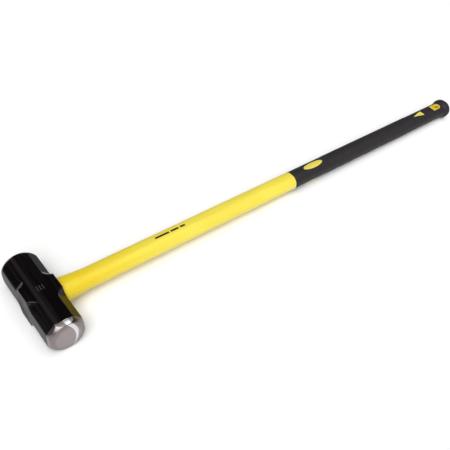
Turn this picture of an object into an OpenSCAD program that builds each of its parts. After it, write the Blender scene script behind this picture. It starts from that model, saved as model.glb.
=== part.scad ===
// Sledgehammer: forged steel head on a fibreglass handle with a plastic jacket and a rubber grip.
// X runs along the handle from the head to the butt, Y is the striking direction and Z is up.
// The origin is the centre of the lower cheek, on which the head rests.

/* [Head] */
// Width of the head, along the handle
head_width = 50.8; // [46:0.2:58]
// Thickness of the head, from cheek to cheek
head_thickness = 50.8; // [46:0.2:58]
// Length of the head, from one striking face to the other
head_length = 145; // [132:1:170]
// Leg of the long chamfer on each corner of the ends
corner_leg = 12.6; // [8:0.2:14]
// Length of the square waist, between the chamfers
waist_length = 26.4; // [20:0.2:40]
// Radius of the scoop in which each chamfer runs out
scoop_radius = 12.2; // [11:0.2:16]
// Radius on the four long edges of the waist
waist_edge_radius = 1.5; // [0.5:0.1:3]

/* [Striking faces] */
// Radius of the flat middle of a face
face_flat_radius = 14.5; // [10:0.5:17]
// How far a face's rim lies inside the sides of the head
face_inset = 1.5; // [1:0.1:5]
// How far the rim lies behind the flat middle
face_crown = 1.1; // [0.4:0.1:2]
// Axial length of the ground bevel behind the rim
bevel_length = 8.5; // [5:0.1:12]
// How far the bevel bulges beyond a straight cone
bevel_bulge = 0.9; // [0.2:0.1:1.5]

/* [Eye] */
// Gap between the core and the eye, where the handle enters
resin_gap = 1.7; // [1:0.1:3]
// How much wider the gap is at the eye's far end
eye_taper = 1.6; // [0.5:0.1:2.5]
// Chamfer at both mouths of the eye
eye_chamfer = 1.2; // [0.5:0.1:2]
// How far the resin stops below the head's outer side
resin_recess = 0.5; // [0.3:0.1:3]
// Depth of resin over the core's end
resin_cap = 6; // [2:0.5:12]
// Depth of the dam ring that seals the eye
seal_depth = 4; // [2:0.5:8]

/* [Cheek marks] */
// Length of each stamped bar on the upper cheek
mark_length = 9; // [6:0.5:12]
// Width of each stamped bar
mark_width = 1.8; // [1:0.1:2.5]
// Distance from one bar to the next
mark_pitch = 4; // [3:0.1:6]
// Depth of the bars
mark_depth = 0.4; // [0.2:0.1:0.8]

/* [Handle] */
// Overall length, from the head's outer side to the butt
overall_length = 914; // [780:1:1100]
// Width of the flat that makes the handle's section an oval
oval_flat = 3.4; // [1:0.1:6]
// Half the thickness of the fibreglass core
core_radius = 10.5; // [8:0.1:13]
// Distance from the end of the core to the liner of the hanging hole
core_gap = 5; // [2:0.5:20]
// Wall of the jacket
jacket_wall = 3.65; // [3.6:0.05:5]
// How much the jacket's collar widens at the head, each side
collar_flare = 3.85; // [1:0.05:4.5]
// Length over which the collar narrows to the jacket
collar_length = 46.6; // [30:0.1:70]
// Radius on the collar's shoulder
shoulder_radius = 3.4; // [1:0.1:4]
// Wall of the jacket's neck, inside the grip
neck_wall = 1.4; // [0.8:0.1:1.6]
// Distance from the butt to the end of the jacket
jacket_inset = 7; // [4:0.5:12]

/* [Grip] */
// Length of the grip
grip_length = 431.6; // [400:0.1:520]
// Wall of the grip, between its rings
grip_wall = 2; // [1.2:0.1:2.2]
// How much the butt flares, each side
butt_flare = 3.2; // [2:0.1:8]
// Length of the flare and the rim together
butt_length = 18.1; // [14:0.1:26]
// Length of the flare alone, before the butt's full thickness
flare_run = 7.5; // [4:0.5:7.5]
// Radius on the butt's rim
butt_round = 6; // [3:0.5:6]
// Distance from one ring to the next
ring_pitch = 5.6; // [4:0.1:6]
// How far the rings stand out
ring_height = 0.35; // [0.2:0.05:0.6]
// Distance from the oval window to the first ring, and from the last ring to the arrow window
ring_margin = 12; // [4:1:30]

/* [Windows] */
// Distance from the grip's front edge to the middle of the oval window
oval_place = 51; // [35:1:60]
// Length of the oval window
oval_length = 44; // [30:1:50]
// Width of the oval window
oval_width = 13; // [8:0.5:15]
// Distance from the butt to the base of the arrow window
arrow_place = 75.6; // [70:0.1:80]
// Length of the arrow window
arrow_length = 27.6; // [15:0.1:32]
// Width of the arrow window at its base
arrow_width = 12.6; // [8:0.1:15]

/* [Hanging hole] */
// Distance from the liner's round end to the butt's flare
liner_gap = 3.5; // [0.5:0.5:10]
// Diameter of the hole
hole_diameter = 8.4; // [6:0.1:10]
// Width of the D-shaped liner
liner_width = 15; // [13:0.1:20]
// Distance from the hole's centre to the liner's flat end
liner_reach = 16.5; // [10:0.1:18]
// Width of the liner's rim round its dish
liner_rim = 1.9; // [1:0.1:2.5]
// Depth of the dish at each end of the hole
dish_depth = 2; // [1:0.1:4]

/* [Hidden] */
$fn = 48;

// Heights and places along the handle
axis_z = head_thickness/2;
eye_mouth_x = head_width/2;
eye_top_x = -head_width/2;
butt_x = overall_length - head_width/2;
grip_x = butt_x - grip_length;
resin_top_x = eye_top_x + resin_recess;
core_top_x = resin_top_x + resin_cap;
jacket_end_x = butt_x - jacket_inset;
collar_end_x = eye_mouth_x + collar_length;
flare_x = butt_x - butt_length;
flare_end_x = flare_x + flare_run;
oval_x = grip_x + oval_place;
arrow_x = butt_x - arrow_place;
hole_x = flare_x - liner_gap - liner_width/2;
core_end_x = hole_x - liner_reach - core_gap;
seal_x = eye_mouth_x - seal_depth;
ring_x = oval_x + oval_length/2 + ring_margin;
ring_count = floor((arrow_x - arrow_length - ring_margin - ring_x)/ring_pitch) + 1;

// Half thicknesses along the handle, from the core outwards
jacket_radius = core_radius + jacket_wall;
collar_radius = jacket_radius + collar_flare;
neck_radius = core_radius + neck_wall;
grip_radius = neck_radius + grip_wall;
butt_radius = grip_radius + butt_flare;
eye_radius = core_radius + resin_gap;

// Head
half_length = head_length/2;
rim_y = half_length - face_crown;
bevel_y = rim_y - bevel_length;
face_rim_radius = min(head_width, head_thickness)/2 - face_inset;
octagon_radius = norm([head_width/2, head_thickness/2 - corner_leg]);
chamfer_depth = corner_leg/sqrt(2);
run_out = sqrt(scoop_radius^2 - (scoop_radius - chamfer_depth)^2);
scoop_y = waist_length/2 + run_out;

// Margin by which a cutting shape runs past what it cuts
past = 2;
// Number of straight steps in each modelled curve
steps = 8;
// Exponent of the collar's hollow flare
flare_power = 1.5;
// Small bevel on the grip's front edge
edge_break = 0.6;
// One ring's outline: how far each point stands out, and where it lies
ring_points = [[0, -0.9], [ring_height, -0.5], [ring_height, 0.5], [0, 0.9]];

function mix(a, b, t) = a + (b - a)*t;

// Half thickness of the collar at a place along it
function flare_at(x) = mix(jacket_radius, collar_radius,
    max(0, (collar_end_x - x)/collar_length)^flare_power);

// ---------------------------------------------------------------- shared shapes

// A body with the handle's oval section. The child is its half outline, with the radius along
// X and the place along the handle along Y.
module oval_turned() {
    translate([0, 0, axis_z]) rotate([0, 90, 0]) {
        for (turn = [0, 180])
            rotate([0, 0, turn]) translate([0, oval_flat/2, 0])
                rotate_extrude(angle = 180) children();
        translate([0, oval_flat/2, 0]) rotate([90, 0, 0]) linear_extrude(oval_flat) {
            children();
            mirror([1, 0, 0]) children();
        }
    }
}

// An oval bar between two places, tapered if two radii are given
module oval_bar(x0, x1, r0, r1) {
    oval_turned() polygon([[0, x0], [r0, x0], [r1, x1], [0, x1]]);
}

// Vertical prisms through the handle, in the outlines of the windows
module window_prisms() {
    linear_extrude(head_thickness) {
        oval_outline();
        arrow_outline();
    }
}

module oval_outline() {
    translate([oval_x, 0])
        polygon([for (a = [0:10:350]) [cos(a)*oval_length/2, sin(a)*oval_width/2]]);
}

module arrow_outline() {
    translate([arrow_x, 0])
        polygon([[-arrow_length, 0], [0, -arrow_width/2], [0, arrow_width/2]]);
}

// The D of the liner: a half round towards the butt and a flat end towards the head
module liner_outline(inset = 0) {
    translate([hole_x, 0]) {
        circle(d = liner_width - 2*inset);
        translate([-(liner_reach - inset), -(liner_width/2 - inset)])
            square([liner_reach - inset, liner_width - 2*inset]);
    }
}

// ---------------------------------------------------------------- head

// The block that takes one corner off one end, with its scooped run-out
module corner_cut() {
    length = half_length - scoop_y + past;
    side = 4*corner_leg;
    translate([head_width/2, scoop_y, head_thickness/2]) rotate([0, -45, 0])
        translate([-chamfer_depth, 0, 0]) {
            translate([0, 0, -side/2]) cube([side, length, side]);
            translate([scoop_radius, -scoop_radius, -side/2]) cube([side, scoop_radius, side]);
            translate([scoop_radius, 0, -side/2]) cylinder(h = side, r = scoop_radius);
        }
}

// Half outline of the turned envelope that cuts the bevels and the crowned faces
module face_outline() {
    bevel = [for (i = [0:steps]) let (t = i/steps)
        [mix(octagon_radius, face_rim_radius, t) + 4*bevel_bulge*t*(1 - t), bevel_y + bevel_length*t]];
    crown = [for (i = [1:steps]) let (t = i/steps)
        [mix(face_rim_radius, face_flat_radius, t), rim_y + face_crown*(1 - (1 - t)^2)]];
    clear_radius = norm([head_width, head_thickness])/2 + past;
    polygon(concat([[0, 0], [clear_radius, 0], [clear_radius, bevel_y]],
        bevel, crown, [[0, half_length]]));
}

// Square bar with its long edges rounded
module waist_bar() {
    w = head_width/2 - waist_edge_radius;
    t = head_thickness/2 - waist_edge_radius;
    translate([0, half_length, 0]) rotate([90, 0, 0]) linear_extrude(head_length) {
        square([2*w, head_thickness], center = true);
        square([head_width, 2*t], center = true);
        for (x = [-w, w], z = [-t, t]) translate([x, z]) circle(waist_edge_radius);
    }
}

// Stamped bars in the middle of the upper cheek
module cheek_marks() {
    for (i = [-1:1])
        translate([i*mark_pitch - mark_width/2, -mark_length/2, head_thickness/2 - mark_depth])
            cube([mark_width, mark_length, mark_depth + past]);
}

module head() {
    color("#1b191b") {
        translate([0, 0, axis_z]) difference() {
            intersection() {
                waist_bar();
                for (turn = [-90, 90]) rotate([turn, 0, 0]) rotate_extrude() face_outline();
            }
            for (x = [0, 1], y = [0, 1], z = [0, 1])
                mirror([x, 0, 0]) mirror([0, y, 0]) mirror([0, 0, z]) corner_cut();
            translate([0, 0, -axis_z]) eye();
            cheek_marks();
        }
    }
}

// The eye, which widens towards the outer side so that the resin locks the handle in
module eye() {
    top_radius = eye_radius + eye_taper;
    oval_turned() polygon([
        [0, eye_top_x - past],
        [top_radius + eye_chamfer + past, eye_top_x - past],
        [top_radius, eye_top_x + eye_chamfer],
        [eye_radius, eye_mouth_x - eye_chamfer],
        [eye_radius + eye_chamfer + past, eye_mouth_x + past],
        [0, eye_mouth_x + past]]);
}

// ---------------------------------------------------------------- handle

module core() {
    color("#c9b98a") oval_bar(core_top_x, core_end_x, core_radius, core_radius);
}

// What the core leaves open in the eye, between two places along the handle
module eye_filling(x0, x1) {
    difference() {
        intersection() {
            eye();
            translate([x0, -head_length/2, 0]) cube([x1 - x0, head_length, head_thickness]);
        }
        core();
    }
}

module eye_resin() {
    color("#3a3326") eye_filling(resin_top_x, seal_x);
}

module eye_seal() {
    color("#55524e") eye_filling(seal_x, eye_mouth_x);
}

// Half outline of the jacket: rounded shoulder, hollow flare, straight shaft and neck
module jacket_outline() {
    shoulder_x = eye_mouth_x + shoulder_radius;
    shoulder = [for (i = [0:steps]) let (a = 90*i/steps)
        [flare_at(shoulder_x) - shoulder_radius*(1 - sin(a)), shoulder_x - shoulder_radius*cos(a)]];
    flare = [for (i = [1:steps]) let (x = mix(shoulder_x, collar_end_x, i/steps)) [flare_at(x), x]];
    polygon(concat([[0, eye_mouth_x]], shoulder, flare,
        [[jacket_radius, grip_x], [neck_radius, grip_x], [neck_radius, jacket_end_x], [0, jacket_end_x]]));
}

module jacket() {
    color("#f0dc3c") difference() {
        union() {
            oval_turned() jacket_outline();
            intersection() {
                window_prisms();
                oval_bar(grip_x, jacket_end_x, grip_radius, grip_radius);
            }
        }
        core();
        liner_prism();
    }
}

// Half outline of the grip: smooth ends, rings, and a flared butt with a rounded rim
module grip_outline() {
    rings = [for (i = [0:ring_count - 1], p = ring_points)
        [grip_radius + p[0], ring_x + i*ring_pitch + p[1]]];
    flare = [for (i = [1:steps]) let (t = i/steps)
        [mix(grip_radius, butt_radius, (1 - cos(180*t))/2), mix(flare_x, flare_end_x, t)]];
    rim = [for (i = [0:steps]) let (a = 90*i/steps)
        [butt_radius - butt_round*(1 - cos(a)), butt_x - butt_round*(1 - sin(a))]];
    polygon(concat([[0, grip_x], [grip_radius - edge_break, grip_x], [grip_radius, grip_x + edge_break]],
        rings, [[grip_radius, flare_x]], flare, rim, [[0, butt_x]]));
}

module grip() {
    color("#3a363a") difference() {
        oval_turned() grip_outline();
        oval_bar(grip_x - past, jacket_end_x, neck_radius, neck_radius);
        window_prisms();
        liner_prism();
    }
}

// Vertical prism that the liner fills
module liner_prism() {
    linear_extrude(head_thickness) liner_outline();
}

module hang_eyelet() {
    color("#e2cb2c") difference() {
        intersection() {
            liner_prism();
            oval_bar(grip_x, jacket_end_x, grip_radius, grip_radius);
        }
        translate([hole_x, 0, -past]) cylinder(h = head_thickness + 2*past, d = hole_diameter);
        translate([0, 0, axis_z + grip_radius - dish_depth])
            linear_extrude(dish_depth + past) liner_outline(liner_rim);
        translate([0, 0, axis_z - grip_radius - past])
            linear_extrude(dish_depth + past) liner_outline(liner_rim);
    }
}

head();
core();
eye_resin();
eye_seal();
jacket();
grip();
hang_eyelet();
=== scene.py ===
import math

import bmesh
import bpy
import numpy as np
from mathutils import Matrix, Vector


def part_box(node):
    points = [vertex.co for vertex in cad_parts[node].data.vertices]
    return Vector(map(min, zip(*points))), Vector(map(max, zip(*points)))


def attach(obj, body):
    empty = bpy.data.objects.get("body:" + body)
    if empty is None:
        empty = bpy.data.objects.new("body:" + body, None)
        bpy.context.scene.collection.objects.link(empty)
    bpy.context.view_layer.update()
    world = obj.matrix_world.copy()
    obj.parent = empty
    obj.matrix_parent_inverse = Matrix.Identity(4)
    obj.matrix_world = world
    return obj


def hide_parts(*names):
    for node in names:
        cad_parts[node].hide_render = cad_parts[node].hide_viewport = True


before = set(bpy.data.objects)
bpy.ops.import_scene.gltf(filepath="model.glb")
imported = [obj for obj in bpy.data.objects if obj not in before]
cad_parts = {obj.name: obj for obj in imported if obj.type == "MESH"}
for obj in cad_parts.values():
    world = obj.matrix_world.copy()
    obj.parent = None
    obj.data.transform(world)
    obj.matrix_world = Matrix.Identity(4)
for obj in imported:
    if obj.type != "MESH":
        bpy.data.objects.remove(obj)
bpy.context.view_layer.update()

MM = 0.001
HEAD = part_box("head")
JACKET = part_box("jacket")
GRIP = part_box("grip")
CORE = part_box("core")
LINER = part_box("hang_eyelet")
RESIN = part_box("eye_resin")

# Head, in metres
AXIS_Z = (HEAD[0].z + HEAD[1].z) / 2
HALF_W = HEAD[1].x
HALF_H = (HEAD[1].z - HEAD[0].z) / 2
HALF_L = HEAD[1].y
CORNER_LEG = 12.6 * MM
SCOOP_R = 12.2 * MM
WAIST_HALF = 13.2 * MM
FACE_FLAT = 14.5 * MM
FACE_INSET = 1.5 * MM
CROWN = 1.1 * MM
BEVEL = 8.5 * MM
BULGE = 0.9 * MM
PAINT_STEP = 0.12 * MM
TAPER = 1.3 * MM

# Handle, in metres
FLAT = 3.4 * MM
GRIP_X = GRIP[0].x
BUTT_X = GRIP[1].x
CORE_R = (CORE[1].z - CORE[0].z) / 2
EYE_R = CORE_R + 1.7 * MM
EYE_TAPER = 1.6 * MM
EYE_CHAMFER = 1.2 * MM
JACKET_R = 14.15 * MM
COLLAR_R = 18 * MM
COLLAR_END = HALF_W + 46.6 * MM
SHOULDER_R = 3.4 * MM
NECK_R = CORE_R + 1.4 * MM
JACKET_END = JACKET[1].x
GRIP_R = 13.9 * MM
BUTT_R = 17.1 * MM
FLARE_X = BUTT_X - 18.1 * MM
BUTT_ROUND = 6 * MM
FLARE_RUN = 7.5 * MM
RINGS = 42
RING_X = GRIP_X + 85 * MM
RING_PITCH = 5.6 * MM
RING_H = 0.35 * MM
OVAL_X = GRIP_X + 51 * MM
OVAL_L = 44 * MM
OVAL_W = 13 * MM
ARROW_X = BUTT_X - 75.6 * MM
ARROW_L = 27.6 * MM
ARROW_W = 12.6 * MM
LINER_W = LINER[1].y - LINER[0].y
HOLE_X = LINER[1].x - LINER_W / 2
LINER_REACH = HOLE_X - LINER[0].x
HOLE_R = 4.2 * MM
LINER_RIM = 1.9 * MM
DISH = 2 * MM


# ---------------------------------------------------------------- mesh helpers

def add_object(name, mesh):
    obj = bpy.data.objects.new(name, mesh)
    bpy.context.scene.collection.objects.link(obj)
    return obj


def grid_mesh(name, rows, close_rows=False, caps=True):
    """A tube through rows of points, each row a closed loop. Ends are capped or joined."""
    rows = np.asarray(rows, float)
    n, m = rows.shape[:2]
    j = np.arange(m)
    k = (j + 1) % m
    faces = []
    for i in range(n if close_rows else n - 1):
        a, b = i * m, ((i + 1) % n) * m
        faces += np.stack([a + j, a + k, b + k, b + j], 1).tolist()
    if caps and not close_rows:
        faces.append(list(range(m))[::-1])
        faces.append(list(range((n - 1) * m, n * m)))
    mesh = bpy.data.meshes.new(name)
    mesh.from_pydata(rows.reshape(-1, 3).tolist(), [], faces)
    mesh.update()
    tidy_mesh(mesh)
    return mesh


def tidy_mesh(mesh, merge=2e-6):
    """Welds doubles and turns every face outwards."""
    bm = bmesh.new()
    bm.from_mesh(mesh)
    bmesh.ops.remove_doubles(bm, verts=bm.verts, dist=merge)
    bmesh.ops.recalc_face_normals(bm, faces=bm.faces)
    bm.to_mesh(mesh)
    bm.free()


def smooth(obj, angle):
    """Smooth shading, kept sharp at edges that turn by more than the angle in degrees."""
    obj.data.shade_smooth()
    obj.data.set_sharp_from_angle(angle=math.radians(angle))


def cut(obj, *cutters):
    """Takes each cutter out of obj and removes the cutter."""
    for c in cutters:
        mod = obj.modifiers.new("cut", "BOOLEAN")
        mod.operation = "DIFFERENCE"
        mod.solver = "EXACT"
        mod.object = c
    bpy.context.view_layer.update()
    done = obj.evaluated_get(bpy.context.evaluated_depsgraph_get())
    obj.data = bpy.data.meshes.new_from_object(done)
    obj.modifiers.clear()
    for c in cutters:
        bpy.data.objects.remove(c)


def hermite(t):
    t = np.clip(t, 0, 1)
    return t * t * (3 - 2 * t)


def arc_points(x0, r0, x1, r1, n, turn):
    """A quarter ellipse from (x0, r0) to (x1, r1). turn 0 leaves along r, 1 leaves along x."""
    a = np.linspace(0, math.pi / 2, n)
    s, c = np.sin(a), 1 - np.cos(a)
    fx, fr = (s, c) if turn else (c, s)
    return np.stack([x0 + (x1 - x0) * fx, r0 + (r1 - r0) * fr], 1)


# ---------------------------------------------------------------- oval section

def half_angles():
    """Angles of one half of the section, close together where the windows are."""
    side = np.radians(np.arange(-57, 58, 3))
    top = np.radians(np.arange(60, 90.1, 1.5))
    return np.concatenate([-top[::-1], side, top])


def section():
    """Rows (cos, sin, shift): a point lies at y = r cos + shift, z = r sin."""
    a = half_angles()
    right = np.stack([np.cos(a), np.sin(a), np.full(a.size, FLAT / 2)], 1)
    flats = np.linspace(FLAT / 2, -FLAT / 2, 7)[1:-1]
    top = np.stack([0 * flats, 0 * flats + 1, flats], 1)
    left = np.stack([-np.cos(a), -np.sin(a), np.full(a.size, -FLAT / 2)], 1)
    bottom = np.stack([0 * flats, 0 * flats - 1, -flats], 1)
    return np.concatenate([right, top, left, bottom])


SECTION = section()


def oval_rows(profile):
    """Loops of the oval section along a profile of (x, r) pairs."""
    p = np.asarray(profile, float)
    c, s, shift = SECTION.T
    y = p[:, 1:] * c + shift
    z = AXIS_Z + p[:, 1:] * s
    x = np.broadcast_to(p[:, :1], y.shape)
    return np.stack([x, y, z], 2)


def oval_height(y, r):
    """Height above the axis of the oval section's surface at a sideways place."""
    over = np.maximum(np.abs(y) - FLAT / 2, 0)
    return np.sqrt(np.maximum(r * r - over * over, 0))


# ---------------------------------------------------------------- window outlines

def oval_outline(grow=0.0, n=96):
    a = np.linspace(0, 2 * math.pi, n, endpoint=False)
    return np.stack([OVAL_X + np.cos(a) * (OVAL_L / 2 + grow),
                     np.sin(a) * (OVAL_W / 2 + grow)], 1)


def rounded_polygon(corners, radii, n=96):
    """A polygon with rounded corners, as n points evenly spaced round it."""
    points = []
    count = len(corners)
    for i in range(count):
        p, q, s = (Vector(corners[(i + d) % count]) for d in (-1, 0, 1))
        u, v = (p - q).normalized(), (s - q).normalized()
        half = u.angle(v) / 2
        back = radii[i] / math.tan(half)
        a, b = q + u * back, q + v * back
        centre = q + (u + v).normalized() * (radii[i] / math.sin(half))
        for t in np.linspace(0, 1, 9):
            d = (a - centre).lerp(b - centre, t)
            points.append(centre + d.normalized() * radii[i])
    pts = np.array([tuple(v) for v in points])
    loop = np.vstack([pts, pts[:1]])
    run = np.concatenate([[0], np.cumsum(np.linalg.norm(np.diff(loop, axis=0), axis=1))])
    at = np.linspace(0, run[-1], n, endpoint=False)
    return np.stack([np.interp(at, run, loop[:, 0]), np.interp(at, run, loop[:, 1])], 1)


def arrow_outline(grow=0.0):
    g, w = grow, ARROW_W / 2
    lean = ARROW_L / math.hypot(ARROW_L, w)
    tip = g / math.sin(math.atan2(w, ARROW_L))
    base = w + g / lean + g * w / ARROW_L
    return rounded_polygon([(ARROW_X - ARROW_L - tip, 0), (ARROW_X + g, -base), (ARROW_X + g, base)],
                           [0.4 * MM, 0.5 * MM, 0.5 * MM])


def liner_outline(grow=0.0, n=96):
    """The D of the liner: flat towards the head, half round towards the butt."""
    w = LINER_W / 2 + grow
    x0 = HOLE_X - LINER_REACH - grow
    return rounded_polygon([(x0, -w), (HOLE_X + w, -w), (HOLE_X + w, w), (x0, w)],
                           [0.8 * MM, w * 0.999, w * 0.999, 0.8 * MM], n)


def outline_distance(points, outline):
    """Distance from each plan point to a closed outline."""
    a = outline
    d = np.roll(outline, -1, axis=0) - a
    best = np.full(len(points), 1e9)
    for p, e in zip(a, d):
        v = points - p
        t = np.clip((v @ e) / (e @ e), 0, 1)
        best = np.minimum(best, np.linalg.norm(v - t[:, None] * e, axis=1))
    return best


def prism(name, outline, z0, z1):
    low = np.column_stack([outline, np.full(len(outline), z0)])
    high = np.column_stack([outline, np.full(len(outline), z1)])
    return add_object(name, grid_mesh(name, [low, high]))


# ---------------------------------------------------------------- materials

class Material:
    """A Principled material with a few node-making shortcuts."""

    def __init__(self, name, **constants):
        self.mat = bpy.data.materials.new(name)
        self.mat.use_nodes = True
        self.nodes = self.mat.node_tree.nodes
        self.links = self.mat.node_tree.links
        self.shader = self.nodes["Principled BSDF"]
        for key, value in constants.items():
            self.shader.inputs[key.replace("_", " ")].default_value = value
        self.place = self.nodes.new("ShaderNodeTexCoord").outputs["Object"]
        split = self.nodes.new("ShaderNodeSeparateXYZ")
        self.links.new(self.place, split.inputs[0])
        self.x, self.y, self.z = split.outputs

    def put(self, socket, value):
        if isinstance(value, bpy.types.NodeSocket):
            self.links.new(value, socket)
        else:
            socket.default_value = value

    def math(self, operation, *values):
        node = self.nodes.new("ShaderNodeMath")
        node.operation = operation
        for socket, value in zip(node.inputs, values):
            self.put(socket, value)
        return node.outputs[0]

    def vector(self, x, y, z):
        node = self.nodes.new("ShaderNodeCombineXYZ")
        for socket, value in zip(node.inputs, (x, y, z)):
            self.put(socket, value)
        return node.outputs[0]

    def stretched(self, x, y, z):
        """Object place with each axis scaled."""
        return self.vector(*(self.math("MULTIPLY", v, k) for v, k in
                             zip((self.x, self.y, self.z), (x, y, z))))

    def noise(self, scale, detail=3.0, rough=0.5, vector=None):
        node = self.nodes.new("ShaderNodeTexNoise")
        self.put(node.inputs["Vector"], vector or self.place)
        for key, value in (("Scale", scale), ("Detail", detail), ("Roughness", rough)):
            node.inputs[key].default_value = value
        return node.outputs["Fac"]

    def cells(self, scale):
        node = self.nodes.new("ShaderNodeTexVoronoi")
        self.put(node.inputs["Vector"], self.place)
        node.inputs["Scale"].default_value = scale
        return node.outputs["Distance"]

    def remap(self, value, low, high, to_low=0.0, to_high=1.0):
        node = self.nodes.new("ShaderNodeMapRange")
        for socket, v in zip(node.inputs, (value, low, high, to_low, to_high)):
            self.put(socket, v)
        return node.outputs[0]

    def mix(self, factor, a, b):
        node = self.nodes.new("ShaderNodeMix")
        node.data_type = "RGBA"
        for socket, value in zip((node.inputs[0], node.inputs[6], node.inputs[7]), (factor, a, b)):
            self.put(socket, value)
        return node.outputs[2]

    def blend(self, factor, a, b):
        """Plain numbers mixed by a factor."""
        node = self.nodes.new("ShaderNodeMix")
        for index, value in ((0, factor), (2, a), (3, b)):
            self.put(node.inputs[index], value)
        return node.outputs[0]

    def bump(self, height, distance, strength=1.0, normal=None):
        node = self.nodes.new("ShaderNodeBump")
        node.inputs["Strength"].default_value = strength
        node.inputs["Distance"].default_value = distance
        self.put(node.inputs["Height"], height)
        if normal:
            self.put(node.inputs["Normal"], normal)
        return node.outputs[0]

    def set(self, **sockets):
        for key, value in sockets.items():
            self.put(self.shader.inputs[key.replace("_", " ")], value)
        return self.mat


def rgb(r, g, b):
    return (r, g, b, 1.0)


def steel_and_paint():
    """Gloss black paint over the forged head, with the front end and the rear face ground to steel."""
    m = Material("head_finish", Specular_IOR_Level=0.22)
    ragged = m.remap(m.noise(260, 2), 0.3, 0.7, -0.25 * MM, 0.25 * MM)
    along = m.math("ADD", m.math("ABSOLUTE", m.y), ragged)
    end = m.blend(m.math("GREATER_THAN", m.y, 0.0), PAINT_END, REAR_PAINT_END)
    steel = m.remap(m.math("SUBTRACT", along, end), -0.1 * MM, 0.1 * MM)
    up = m.math("SUBTRACT", m.z, AXIS_Z)
    radius = m.math("SQRT", m.math("ADD", m.math("MULTIPLY", m.x, m.x), m.math("MULTIPLY", up, up)))
    turn = m.math("MULTIPLY", m.math("ARCTAN2", up, m.x), 0.004)
    ground = m.noise(2600, 4, 0.6, m.vector(radius, along, turn))
    cloud = m.noise(70, 3)
    # The paint's tone varies in streaks along the head; these streaks also stand in for blurred reflections,
    # so they are partly painted reflection.
    streak = m.noise(1, 2, 0.45, m.stretched(150, 9, 150))
    paint = m.mix(m.remap(streak, 0.42, 0.66), rgb(0.003, 0.002, 0.0025), rgb(0.008, 0.0065, 0.0075))
    # Painted reflection: a lighter band of paint along both cheeks, 8 mm off the middle towards the eye's
    # top, stands in for a reflected light.
    painted_reflection_band = m.math("ADD", m.math("ADD", m.x, REFLECTION_BAND_X), m.math("MULTIPLY", streak, 3 * MM))
    painted_reflection_band = m.remap(m.math("ABSOLUTE", painted_reflection_band), 1.6 * MM, 4.2 * MM, 1, 0)
    paint = m.mix(m.math("MULTIPLY", painted_reflection_band, 0.8), paint, rgb(0.018, 0.015, 0.0165))
    sunk = m.math("LESS_THAN", m.z, HEAD[1].z - 0.12 * MM)
    reach = m.math("MAXIMUM", m.math("ABSOLUTE", m.x), m.math("ABSOLUTE", m.y))
    middle = m.math("LESS_THAN", reach, STAMP_REACH)
    high = m.math("GREATER_THAN", m.z, HEAD[1].z - MM)
    stamped = m.math("MULTIPLY", m.math("MULTIPLY", sunk, high), middle)
    paint = m.mix(stamped, paint, rgb(0.040, 0.035, 0.036))
    metal = m.mix(m.remap(ground, 0.3, 0.7), rgb(0.27, 0.235, 0.235), rgb(0.35, 0.31, 0.31))
    metal = m.mix(m.remap(cloud, 0.35, 0.7), metal, rgb(0.30, 0.26, 0.255))
    # Painted shade: the steel is made darker beyond 17 mm from the axis, standing in for the darker
    # reflection on the faces' outer ring.
    outer = m.remap(radius, 17 * MM, 20 * MM, 0, 0.75)
    metal = m.mix(outer, metal, rgb(0.22, 0.195, 0.19))
    # Painted highlight: a bright crescent on the steel of the faces, an arc round a centre 25 mm towards the
    # eye's top, stands in for a reflected light. It also gets a lower roughness.
    sweep = m.math("SQRT", m.math("ADD", m.math("POWER", m.math("ADD", m.x, HIGHLIGHT_CRESCENT_X), 2.0),
                                  m.math("MULTIPLY", up, up)))
    width = m.remap(up, -24 * MM, 8 * MM, 0.3 * MM, 2.9 * MM)
    away = m.math("ABSOLUTE", m.math("SUBTRACT", sweep, HIGHLIGHT_CRESCENT_R))
    painted_highlight_crescent = m.remap(m.math("SUBTRACT", away, width), -1.0 * MM, 0.3 * MM, 1, 0)
    metal = m.mix(painted_highlight_crescent, metal, rgb(0.70, 0.685, 0.72))
    side = m.remap(m.x, -HALF_W + 0.6 * MM, -HALF_W + 0.2 * MM)
    dull = m.remap(m.math("ADD", m.x, up), (CHAMFER_D - 0.6 * MM) * math.sqrt(2),
                   (CHAMFER_D - 0.3 * MM) * math.sqrt(2))
    dull = m.math("MULTIPLY", dull, m.math("GREATER_THAN", m.y, SCOOP_Y))
    peel = m.noise(900, 2)
    forge = m.noise(48, 2)
    lacquer = m.bump(m.math("ADD", m.math("MULTIPLY", peel, 0.06), forge), 0.16 * MM)
    lines = m.bump(ground, 0.012 * MM, 1.0)
    normal = m.nodes.new("ShaderNodeMix")
    normal.data_type = "VECTOR"
    sockets = (normal.inputs[0], normal.inputs[4], normal.inputs[5])
    for socket, value in zip(sockets, (steel, lacquer, lines)):
        m.put(socket, value)
    lacquer_rough = m.blend(side, m.remap(cloud, 0.3, 0.7, 0.11, 0.16), 0.42)
    lacquer_rough = m.blend(dull, lacquer_rough, 0.6)
    steel_rough = m.blend(painted_highlight_crescent, m.remap(ground, 0.3, 0.7, 0.28, 0.38), 0.22)
    return m.set(Base_Color=m.mix(steel, paint, metal), Metallic=steel,
                 Roughness=m.blend(steel, lacquer_rough, steel_rough), Normal=normal.outputs[1])


def printed_dashes(m):
    """1 where the plain printed dashes are: three bars in a row on top of the jacket."""
    row = m.math("LESS_THAN", m.math("ABSOLUTE", m.math("SUBTRACT", m.y, DASH_Y)), DASH_HALF)
    above = m.math("GREATER_THAN", m.z, AXIS_Z)
    inside = None
    for start, end in DASHES:
        bar = m.math("MULTIPLY", m.math("GREATER_THAN", m.x, start), m.math("LESS_THAN", m.x, end))
        inside = bar if inside is None else m.math("ADD", inside, bar)
    return m.math("MULTIPLY", m.math("MULTIPLY", row, above), inside)


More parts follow.
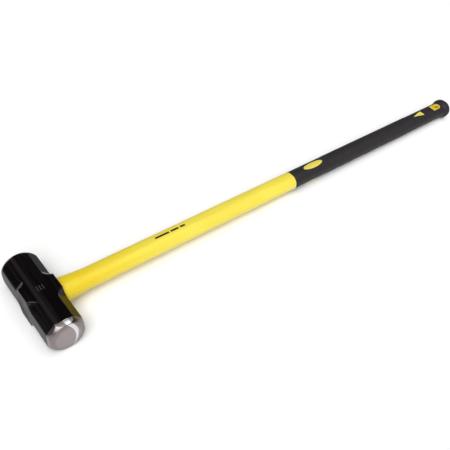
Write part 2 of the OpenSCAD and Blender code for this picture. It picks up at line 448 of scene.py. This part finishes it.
def yellow_plastic(name, bright, deep, print_and_painted_light=False, dish_shade_z=None):
    """Satin moulded plastic: faint flow streaks along the handle and a fine grain."""
    m = Material(name, Subsurface_Weight=0.04, Subsurface_Scale=0.002, Specular_IOR_Level=0.45)
    flow = m.noise(1, 3, 0.5, m.stretched(14, 120, 120))
    mottle = m.noise(420, 3)
    tint = m.math("ADD", m.math("MULTIPLY", flow, 0.7), m.math("MULTIPLY", mottle, 0.3))
    colour = m.mix(m.remap(tint, 0.35, 0.68), deep, bright)
    if print_and_painted_light:
        # Painted light: the jacket turns paler from 6 cm to 20 cm out along the handle and stays paler
        # beyond, standing in for the handle lit more brightly towards the grip. The dashes below are print.
        painted_light_yellow = m.mix(m.remap(tint, 0.35, 0.68), rgb(0.80, 0.655, 0.06), rgb(0.85, 0.72, 0.085))
        colour = m.mix(m.remap(m.x, 0.06, 0.20), colour, painted_light_yellow)
        colour = m.mix(printed_dashes(m), colour, rgb(0.012, 0.011, 0.010))
    if dish_shade_z:
        # Painted shade: a darker, deeper yellow inside the liner's dish, where the recess lies in shade.
        depth = m.math("ABSOLUTE", m.math("SUBTRACT", m.z, AXIS_Z))
        colour = m.mix(m.remap(depth, dish_shade_z, dish_shade_z + MM), rgb(0.62, 0.47, 0.012), colour)
    grain = m.bump(m.noise(1500, 3), 0.03 * MM, 0.8, m.bump(flow, 0.08 * MM, 0.6))
    return m.set(Base_Color=colour, Roughness=m.remap(mottle, 0.3, 0.7, 0.34, 0.46), Normal=grain)


def grip_rubber():
    """Matte charcoal rubber with a fine spark-eroded grain."""
    m = Material("grip_rubber_finish", Specular_IOR_Level=0.4)
    cloud = m.noise(90, 3)
    grain = m.cells(1500)
    speck = m.noise(1100, 3, 0.6)
    colour = m.mix(m.remap(cloud, 0.3, 0.7), rgb(0.0115, 0.0088, 0.011), rgb(0.018, 0.0142, 0.0172))
    colour = m.mix(m.remap(speck, 0.55, 0.75, 0, 0.5), colour, rgb(0.032, 0.027, 0.031))
    normal = m.bump(grain, 0.05 * MM, 0.7, m.bump(speck, 0.05 * MM, 0.6))
    return m.set(Base_Color=colour, Roughness=m.remap(speck, 0.3, 0.7, 0.58, 0.74), Normal=normal)


def fibreglass():
    """Pultruded rod: fine strands along the handle, seen end on as a dense speckle."""
    m = Material("core_finish", Specular_IOR_Level=0.5)
    strands = m.noise(1, 4, 0.7, m.stretched(40, 3400, 3400))
    bands = m.noise(1, 2, 0.5, m.stretched(30, 500, 500))
    colour = m.mix(m.remap(strands, 0.3, 0.7), rgb(0.30, 0.23, 0.11), rgb(0.66, 0.58, 0.38))
    colour = m.mix(m.remap(bands, 0.45, 0.7, 0, 0.5), colour, rgb(0.42, 0.33, 0.17))
    return m.set(Base_Color=colour, Roughness=m.remap(strands, 0.3, 0.7, 0.38, 0.6),
                 Normal=m.bump(strands, 0.05 * MM, 0.8))


def cast_resin():
    """Dark epoxy with small bubbles and a wavy poured surface."""
    m = Material("resin_finish", Specular_IOR_Level=0.22)
    wave = m.noise(160, 2)
    bubbles = m.cells(900)
    colour = m.mix(m.remap(wave, 0.3, 0.7), rgb(0.006, 0.005, 0.0045), rgb(0.018, 0.0145, 0.012))
    normal = m.bump(m.remap(bubbles, 0.0, 0.25), 0.05 * MM, 0.4, m.bump(wave, 0.2 * MM, 0.4))
    return m.set(Base_Color=colour, Roughness=m.remap(wave, 0.3, 0.7, 0.38, 0.5), Normal=normal)


def seal_rubber():
    m = Material("seal_finish", Specular_IOR_Level=0.4)
    speck = m.noise(800, 3)
    colour = m.mix(m.remap(speck, 0.3, 0.7), rgb(0.07, 0.066, 0.062), rgb(0.11, 0.105, 0.10))
    return m.set(Base_Color=colour, Roughness=m.remap(speck, 0.3, 0.7, 0.7, 0.85),
                 Normal=m.bump(speck, 0.08 * MM, 0.6))


def floor_paper():
    m = Material("floor_paper", Specular_IOR_Level=0.1)
    tone = m.noise(3, 2)
    return m.set(Base_Color=m.mix(tone, rgb(0.93, 0.93, 0.93), rgb(0.95, 0.95, 0.95)), Roughness=0.9)


# ---------------------------------------------------------------- head

def soft_max(a, b, width):
    return np.maximum(a, b) + np.maximum(width - np.abs(a - b), 0) ** 2 / (4 * width)


OCTAGON_R = math.hypot(HALF_W, HALF_H - CORNER_LEG)
CHAMFER_D = (HALF_W + HALF_H - CORNER_LEG) / math.sqrt(2)
RIM_Y = HALF_L - CROWN
BEVEL_Y = RIM_Y - BEVEL
RIM_R = min(HALF_W, HALF_H) - FACE_INSET
SCOOP_Y = WAIST_HALF + math.sqrt(SCOOP_R ** 2 - (SCOOP_R - CORNER_LEG / math.sqrt(2)) ** 2)
PAINT_END = BEVEL_Y + 0.2 * MM
REAR_PAINT_END = RIM_Y - 0.2 * MM
HIGHLIGHT_CRESCENT_R = 37.4 * MM
REFLECTION_BAND_X = 8 * MM
HIGHLIGHT_CRESCENT_X = 25 * MM
STAMP_REACH = 6.5 * MM
STAMP_PITCH = 4 * MM
DASH_Y = 0.9 * MM
DASH_HALF = 1.7 * MM
DASHES = ((181 * MM, 206 * MM), (209 * MM, 223 * MM), (226 * MM, 235 * MM))


def face_profile():
    """Envelope of one end as (r, y) points: bulged bevel, soft rim, crown and flat face."""
    t = np.linspace(0, 1, 30)
    bevel = np.stack([OCTAGON_R + (RIM_R - OCTAGON_R) * t + 4 * BULGE * t * (1 - t), BEVEL_Y + BEVEL * t], 1)
    crown = np.stack([RIM_R + (FACE_FLAT - RIM_R) * t, RIM_Y + CROWN * (1 - (1 - t) ** 2)], 1)[1:]
    start = bevel[0] + (bevel[0] - bevel[1]) * 6
    rough = np.vstack([start, bevel, crown, [0, HALF_L]])
    run = np.concatenate([[0], np.cumsum(np.linalg.norm(np.diff(rough, axis=0), axis=1))])
    at = np.arange(0, run[-1], 0.25 * MM)
    fine = np.stack([np.interp(at, run, rough[:, i]) for i in (0, 1)], 1)
    kernel = np.hanning(11)
    kernel /= kernel.sum()
    padded = np.pad(fine, ((5, 5), (0, 0)), mode="edge")
    soft = np.stack([np.convolve(padded[:, i], kernel, "valid") for i in (0, 1)], 1)
    return soft[6:]


PROFILE = face_profile()


def head_inside(x, y, z):
    """Below zero inside the forging. Measured from its centre, folded into one corner."""
    edge = np.where(y > 0, REAR_PAINT_END, PAINT_END)
    x, y, z = np.abs(x), np.abs(y), np.abs(z)
    ground = PAINT_STEP * hermite((y - edge) / (0.3 * MM) + 0.5)
    taper = TAPER * np.clip((y - edge) / BEVEL, 0, 1) ** 1.5
    sides = soft_max(x - HALF_W, z - HALF_H, 1.9 * MM) + taper
    diagonal = (x + z) / math.sqrt(2)
    scoop = SCOOP_R - np.hypot(diagonal - CHAMFER_D - SCOOP_R, np.minimum(y - SCOOP_Y, 0))
    flat = diagonal - CHAMFER_D
    corner = np.where(y < SCOOP_Y, scoop, flat)
    body = soft_max(sides, corner, 1.0 * MM) + ground
    edge = np.interp(y, PROFILE[:, 1], PROFILE[:, 0], left=1.0)
    envelope = np.where(y > BEVEL_Y - 1.2 * MM, np.hypot(x, z) - edge, -1.0)
    return soft_max(body, envelope, 0.7 * MM)


def head_rows():
    """Loops round the striking axis, from the front face to the rear one."""
    turns = np.radians(np.arange(0, 360, 1.0) + 0.5)
    body = np.concatenate([np.arange(0, 62, 0.62), np.arange(62, 71.0, 0.3)]) * MM
    y = np.concatenate([-body[::-1], body[1:]])
    grid_y, grid_t = np.meshgrid(y, turns, indexing="ij")
    c, s = np.cos(grid_t), np.sin(grid_t)
    low, high = np.zeros_like(c), np.full_like(c, 45 * MM)
    for _ in range(34):
        middle = (low + high) / 2
        inside = head_inside(middle * c, grid_y, middle * s) < 0
        low, high = np.where(inside, middle, low), np.where(inside, high, middle)
    rows = np.stack([low * c, grid_y, AXIS_Z + low * s], 2)
    end = PROFILE[PROFILE[:, 1] > y[-1] + 0.05 * MM]
    rings = np.stack([np.stack([r * np.cos(turns), np.full(turns.size, v), AXIS_Z + r * np.sin(turns)], 1)
                      for r, v in end if r > 0.4 * MM])
    mirrored = rings[::-1] * np.array([1, -1, 1])
    return np.concatenate([mirrored, rows, rings])


def eye_cutter():
    top = EYE_R + EYE_TAPER
    past = 3 * MM
    profile = [(-HALF_W - past, top + EYE_CHAMFER + past), (-HALF_W + EYE_CHAMFER, top),
               (HALF_W - EYE_CHAMFER, EYE_R), (HALF_W + past, EYE_R + EYE_CHAMFER + past)]
    return add_object("eye_cutter", grid_mesh("eye_cutter", oval_rows(profile)))


def stamp_cutters():
    """Three short bars, stamped into the upper cheek."""
    made = []
    for i in (-1, 0, 1):
        w, l, x = 0.9 * MM, 4.5 * MM, i * STAMP_PITCH
        shape = rounded_polygon([(x - w, -l), (x + w, -l), (x + w, l), (x - w, l)], [0.85 * MM] * 4, 48)
        foot = (shape - [x, 0]) * [0.80, 0.95] + [x, 0]
        top = HEAD[1].z
        loops = [np.column_stack([foot, np.full(48, top - 0.4 * MM)]),
                 np.column_stack([shape, np.full(48, top - 0.08 * MM)]),
                 np.column_stack([(shape - [x, 0]) * [1.35, 1.06] + [x, 0], np.full(48, top + 0.12 * MM)]),
                 np.column_stack([(shape - [x, 0]) * [1.35, 1.06] + [x, 0], np.full(48, top + 2 * MM)])]
        made.append(add_object(f"stamp_{i}", grid_mesh(f"stamp_{i}", loops)))
    return made


def make_head():
    obj = add_object("forged_head", grid_mesh("forged_head", head_rows()))
    cut(obj, eye_cutter(), *stamp_cutters())
    smooth(obj, 28)
    obj.data.materials.clear()
    obj.data.materials.append(steel_and_paint())
    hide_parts("head")
    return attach(obj, "root")


# ---------------------------------------------------------------- what fills the eye

def make_resin():
    """The poured resin: a plug over the core's end, then a sleeve round it as far as the seal."""
    top_x, seal_x = RESIN[0].x, RESIN[1].x
    taper = EYE_TAPER / (2 * (HALF_W - EYE_CHAMFER))
    wall = lambda x: EYE_R + taper * (HALF_W - EYE_CHAMFER - x) - 0.03 * MM
    lip = top_x + 0.7 * MM
    core_top = CORE[0].x - 0.02 * MM
    top_r = wall(lip)
    hollow = [(top_x + 0.35 * MM * math.cos(a) ** 2, top_r * math.sin(a))
              for a in np.linspace(0.06, 1.45, 14)]
    outer = hollow + [(top_x, top_r + 0.65 * MM), (lip, top_r), (seal_x, wall(seal_x))]
    inner = [(seal_x, CORE_R + 0.01 * MM), (core_top, CORE_R + 0.01 * MM), (core_top, 0.5 * MM)]
    obj = add_object("resin_fill", grid_mesh("resin_fill", oval_rows(outer + inner)))
    smooth(obj, 50)
    obj.data.materials.append(cast_resin())
    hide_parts("eye_resin")
    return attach(obj, "root")


# ---------------------------------------------------------------- jacket

def flare_at(x):
    return JACKET_R + (COLLAR_R - JACKET_R) * np.maximum(0, (COLLAR_END - x) / (COLLAR_END - HALF_W)) ** 1.5


def jacket_profile():
    shoulder_x = HALF_W + SHOULDER_R
    r = float(flare_at(shoulder_x))
    shoulder = arc_points(HALF_W + 0.05 * MM, r - SHOULDER_R, shoulder_x, r, 12, 0)
    x = np.linspace(shoulder_x, COLLAR_END, 34)[1:]
    flare = np.stack([x, flare_at(x)], 1)
    x = np.linspace(COLLAR_END, GRIP_X - 0.9 * MM, 60)[1:]
    shaft = np.stack([x, np.full(x.size, JACKET_R)], 1)
    lip = arc_points(GRIP_X - 0.9 * MM, JACKET_R, GRIP_X - 0.05 * MM, JACKET_R - 0.8 * MM, 7, 1)[1:]
    neck = [(GRIP_X - 0.05 * MM, NECK_R), (JACKET_END, NECK_R), (JACKET_END, 2 * MM)]
    core_end = CORE[1].x
    bore = [(JACKET_END - 3 * MM, 2 * MM), (core_end + 1 * MM, 2 * MM),
            (core_end + 1 * MM, CORE_R + 0.02 * MM), (HALF_W + 0.05 * MM, CORE_R + 0.02 * MM)]
    return np.vstack([shoulder, flare, shaft, lip, neck]), bore


def make_jacket():
    outside, bore = jacket_profile()
    rows = oval_rows(np.vstack([outside, bore]))
    obj = add_object("jacket_shell", grid_mesh("jacket_shell", rows, close_rows=True))
    cut(obj, prism("liner_room", liner_outline(0.02 * MM), HEAD[0].z - MM, HEAD[1].z + MM))
    smooth(obj, 30)
    obj.data.materials.clear()
    obj.data.materials.append(yellow_plastic("jacket_finish", rgb(0.81, 0.63, 0.028),
                                              rgb(0.76, 0.565, 0.014), print_and_painted_light=True))
    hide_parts("jacket")
    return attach(obj, "root")


def make_pad(name, outline_at, side, mat):
    """One raised window pad: a closed plug whose crowned top follows the handle."""
    grip_r = GRIP_R + 0.05 * MM
    middle = outline_at(0).mean(axis=0)
    loops = []

    def loop(shape, sink):
        z = AXIS_Z + side * (oval_height(shape[:, 1], grip_r) - sink)
        loops.append(np.column_stack([shape, z]))

    gap, edge = 0.08, 0.4
    base = outline_at(-gap * MM)
    foot = np.column_stack([base, AXIS_Z + side * (oval_height(base[:, 1], NECK_R) - 0.3 * MM)])
    loops.append(foot)
    for a in np.linspace(0, math.pi / 2, 6):
        loop(outline_at(-(gap + edge * (1 - math.cos(a))) * MM), 0.15 * MM + edge * MM * (1 - math.sin(a)))
    inner = outline_at(-(gap + edge) * MM)
    for k in (0.9, 0.75, 0.55, 0.35, 0.15):
        loop(middle + (inner - middle) * k, 0.15 * MM - 0.13 * MM * (1 - k * k))
    obj = add_object(name, grid_mesh(name, loops))
    smooth(obj, 50)
    obj.data.materials.append(mat)
    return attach(obj, "root")


def make_pads():
    mat = yellow_plastic("pad_finish", rgb(0.80, 0.69, 0.14), rgb(0.74, 0.62, 0.09))
    for side, word in ((1, "upper"), (-1, "lower")):
        make_pad(f"oval_pad_{word}", oval_outline, side, mat)
        make_pad(f"arrow_pad_{word}", arrow_outline, side, mat)


# ---------------------------------------------------------------- grip

def ring_at(x):
    """How far the rings stand out at each place along the grip."""
    k = np.round((x - RING_X) / RING_PITCH)
    on = (k >= 0) & (k < RINGS)
    away = np.abs(x - RING_X - k * RING_PITCH)
    return np.where(on, RING_H * hermite((1.05 * MM - away) / (0.7 * MM)), 0)


def grip_profile():
    front = arc_points(GRIP_X + 0.05 * MM, GRIP_R - 0.7 * MM, GRIP_X + 0.8 * MM, GRIP_R, 7, 0)
    plain = np.arange(GRIP_X + 1.4 * MM, RING_X - 1.6 * MM, 0.8 * MM)
    end = RING_X + (RINGS - 1) * RING_PITCH
    offsets = np.array([-1.05, -0.82, -0.58, -0.35, 0.35, 0.58, 0.82, 1.05, 2.8]) * MM
    rings = np.concatenate([RING_X + i * RING_PITCH + offsets for i in range(RINGS)])[:-1]
    tail = np.arange(end + 1.9 * MM, FLARE_X, 0.8 * MM)
    x = np.concatenate([plain, rings, tail])
    body = np.stack([x, GRIP_R + ring_at(x)], 1)
    t = np.linspace(0, 1, 24)
    flare = np.stack([FLARE_X + FLARE_RUN * t,
                      GRIP_R + (BUTT_R - GRIP_R) * (1 - np.cos(math.pi * t)) / 2], 1)
    rim = arc_points(BUTT_X - BUTT_ROUND, BUTT_R, BUTT_X - 0.25 * MM, BUTT_R - BUTT_ROUND, 14, 1)
    t = np.linspace(0, 1, 12)[1:-1]
    crown = np.stack([BUTT_X - 0.25 * MM * (1 - t) ** 2, (BUTT_R - BUTT_ROUND) * (1 - t) + 0.5 * MM * t], 1)
    return np.vstack([front, body, flare, rim, crown])


def sunk_windows(rows):
    """Rolls the rubber's edge in round each window."""
    flat = rows.reshape(-1, 3)
    for outline in (oval_outline(), arrow_outline(), liner_outline()):
        low, high = outline.min(0) - 2 * MM, outline.max(0) + 2 * MM
        near = np.all((flat[:, :2] > low) & (flat[:, :2] < high), axis=1)
        near &= np.abs(flat[:, 2] - AXIS_Z) > 5 * MM
        away = outline_distance(flat[near, :2], outline)
        sink = 0.45 * MM * np.clip(1 - away / (0.9 * MM), 0, 1) ** 2
        flat[near, 2] -= np.sign(flat[near, 2] - AXIS_Z) * sink
    return flat.reshape(rows.shape)


def make_grip():
    inside = [(JACKET_END, 0.5 * MM), (JACKET_END, NECK_R + 0.02 * MM),
              (GRIP_X + 0.05 * MM, NECK_R + 0.02 * MM)]
    outer = oval_rows(grip_profile())
    rows = np.concatenate([sunk_windows(outer), oval_rows(inside)])
    obj = add_object("grip_sleeve", grid_mesh("grip_sleeve", rows, close_rows=True))
    z0, z1 = HEAD[0].z - MM, HEAD[1].z + MM
    cut(obj, prism("oval_cut", oval_outline(), z0, z1), prism("arrow_cut", arrow_outline(), z0, z1),
        prism("liner_cut", liner_outline(), z0, z1))
    smooth(obj, 40)
    obj.data.materials.clear()
    obj.data.materials.append(grip_rubber())
    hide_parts("grip")
    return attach(obj, "root")


# ---------------------------------------------------------------- hanging hole

def circle(radius, n=96):
    """A circle round the hole, its points in step with those of the liner's outline."""
    outline = liner_outline(0, n) - [HOLE_X, 0]
    a = np.arctan2(outline[:, 1], outline[:, 0])
    return np.stack([HOLE_X + radius * np.cos(a), radius * np.sin(a)], 1)


def liner_half():
    """Loops of the upper half of the liner, from its outer middle over the rim to the hole's middle."""
    top = lambda shape, sink: np.column_stack(
        [shape, oval_height(shape[:, 1], GRIP_R) - sink * MM])
    level = lambda shape, z: np.column_stack([shape, np.full(len(shape), z)])
    g = lambda v: liner_outline(-v * MM)
    floor_z = GRIP_R - DISH
    loops = [level(g(0.25), 0.0), level(g(0.25), 8 * MM), top(g(0.25), 1.3)]
    loops += [top(g(0.25 + 0.5 * (1 - math.cos(a))), 0.6 - 0.55 * math.sin(a))
              for a in np.linspace(0, 1.57, 6)]
    rim = LINER_RIM / MM
    loops += [top(g(rim - 0.4), 0.05)]
    loops += [top(g(rim - 0.4 + 0.4 * math.sin(a)), 0.05 + 0.4 * (1 - math.cos(a)))
              for a in np.linspace(0.3, 1.57, 5)]
    loops += [level(g(rim + 0.1), floor_z + 0.5 * MM)]
    loops += [level(g(rim + 0.1 + 0.5 * (1 - math.cos(a))), floor_z + 0.5 * MM * (1 - math.sin(a)))
              for a in np.linspace(0.3, 1.57, 5)]
    ring = circle(HOLE_R + 0.5 * MM)
    loops += [level(ring, floor_z)]
    loops += [level(circle(HOLE_R + 0.5 * MM * (1 - math.sin(a))), floor_z - 0.5 * MM * (1 - math.cos(a)))
              for a in np.linspace(0.3, 1.57, 5)]
    loops += [level(circle(HOLE_R), 5 * MM), level(circle(HOLE_R), 0.0)]
    return np.array(loops)


def make_liner():
    half = liner_half()
    low = half[::-1][1:-1] * np.array([1, 1, -1])
    rows = np.concatenate([half, low]) + np.array([0, 0, AXIS_Z])
    obj = add_object("hanging_liner", grid_mesh("hanging_liner", rows, close_rows=True))
    smooth(obj, 40)
    obj.data.materials.append(yellow_plastic("liner_finish", rgb(0.80, 0.69, 0.14), rgb(0.74, 0.62, 0.09),
                                              dish_shade_z=GRIP_R - DISH + 0.4 * MM))
    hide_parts("hang_eyelet")
    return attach(obj, "root")


def finish_cad_nodes():
    """The core and the seal keep their exact shape and get a better surface."""
    for node, mat in (("core", fibreglass()), ("eye_seal", seal_rubber())):
        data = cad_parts[node].data
        if not data.materials:
            data.materials.append(mat)
        for i in range(len(data.materials)):
            data.materials[i] = mat


# ---------------------------------------------------------------- stage, lights and camera

def make_floor():
    """A pale floor that touches the head's handle-side edge and the butt."""
    drop = AXIS_Z - BUTT_R
    slope = math.atan2(drop, BUTT_X - BUTT_ROUND - HALF_W)
    bpy.ops.mesh.primitive_grid_add(x_subdivisions=8, y_subdivisions=8, size=14)
    obj = bpy.context.object
    obj.name = "floor"
    obj.rotation_euler = (0, -slope, 0)
    obj.location = (HALF_W, 0, -0.0003)
    obj.data.materials.append(floor_paper())


def add_sun(name, towards, width, strength):
    """A soft light from far away, given by the direction that it comes from and its width in degrees."""
    light = bpy.data.lights.new(name, "SUN")
    light.angle = math.radians(width)
    light.energy = strength
    obj = bpy.data.objects.new(name, light)
    bpy.context.scene.collection.objects.link(obj)
    obj.rotation_euler = Vector(towards).to_track_quat("Z", "Y").to_euler()


def make_lights():
    add_sun("overhead_softbox", (-0.05, -0.2, 1), 70, 1.85)
    add_sun("camera_softbox", (-0.45, -0.52, 0.8), 50, 2.05)


def make_world():
    """Pale at the horizon and dim overhead, like a lit cyclorama in a dark studio."""
    world = bpy.data.worlds.new("studio")
    bpy.context.scene.world = world
    world.use_nodes = True
    nodes, links = world.node_tree.nodes, world.node_tree.links
    place = nodes.new("ShaderNodeTexCoord")
    split = nodes.new("ShaderNodeSeparateXYZ")
    ramp = nodes.new("ShaderNodeValToRGB")
    links.new(place.outputs["Generated"], split.inputs[0])
    links.new(split.outputs[2], ramp.inputs[0])
    ramp.color_ramp.elements[0].position = 0.06
    ramp.color_ramp.elements[0].color = rgb(0.75, 0.75, 0.75)
    ramp.color_ramp.elements[1].position = 0.12
    ramp.color_ramp.elements[1].color = rgb(0.03, 0.03, 0.03)
    links.new(ramp.outputs[0], nodes["Background"].inputs[0])


def make_camera():
    """Looks down at the upper cheek from beside the front face."""
    data = bpy.data.cameras.new("camera")
    data.sensor_width = 36
    data.lens = 49.23
    data.clip_start, data.clip_end = 0.01, 60
    obj = bpy.data.objects.new("camera", data)
    bpy.context.scene.collection.objects.link(obj)
    right = Vector((0.77906, -0.61837, 0.10338))
    up = Vector((0.38427, 0.60125, 0.70060))
    back = Vector((-0.49538, -0.50608, 0.70603))
    turn = Matrix((right, up, back)).transposed()
    obj.matrix_world = Matrix.Translation((-0.17924, -0.50843, 0.70270)) @ turn.to_4x4()
    bpy.context.scene.camera = obj


make_head()
make_resin()
make_jacket()
make_pads()
make_grip()
make_liner()
finish_cad_nodes()
make_floor()
make_lights()
make_world()
make_camera()
bpy.context.scene.view_settings.view_transform = "Standard"
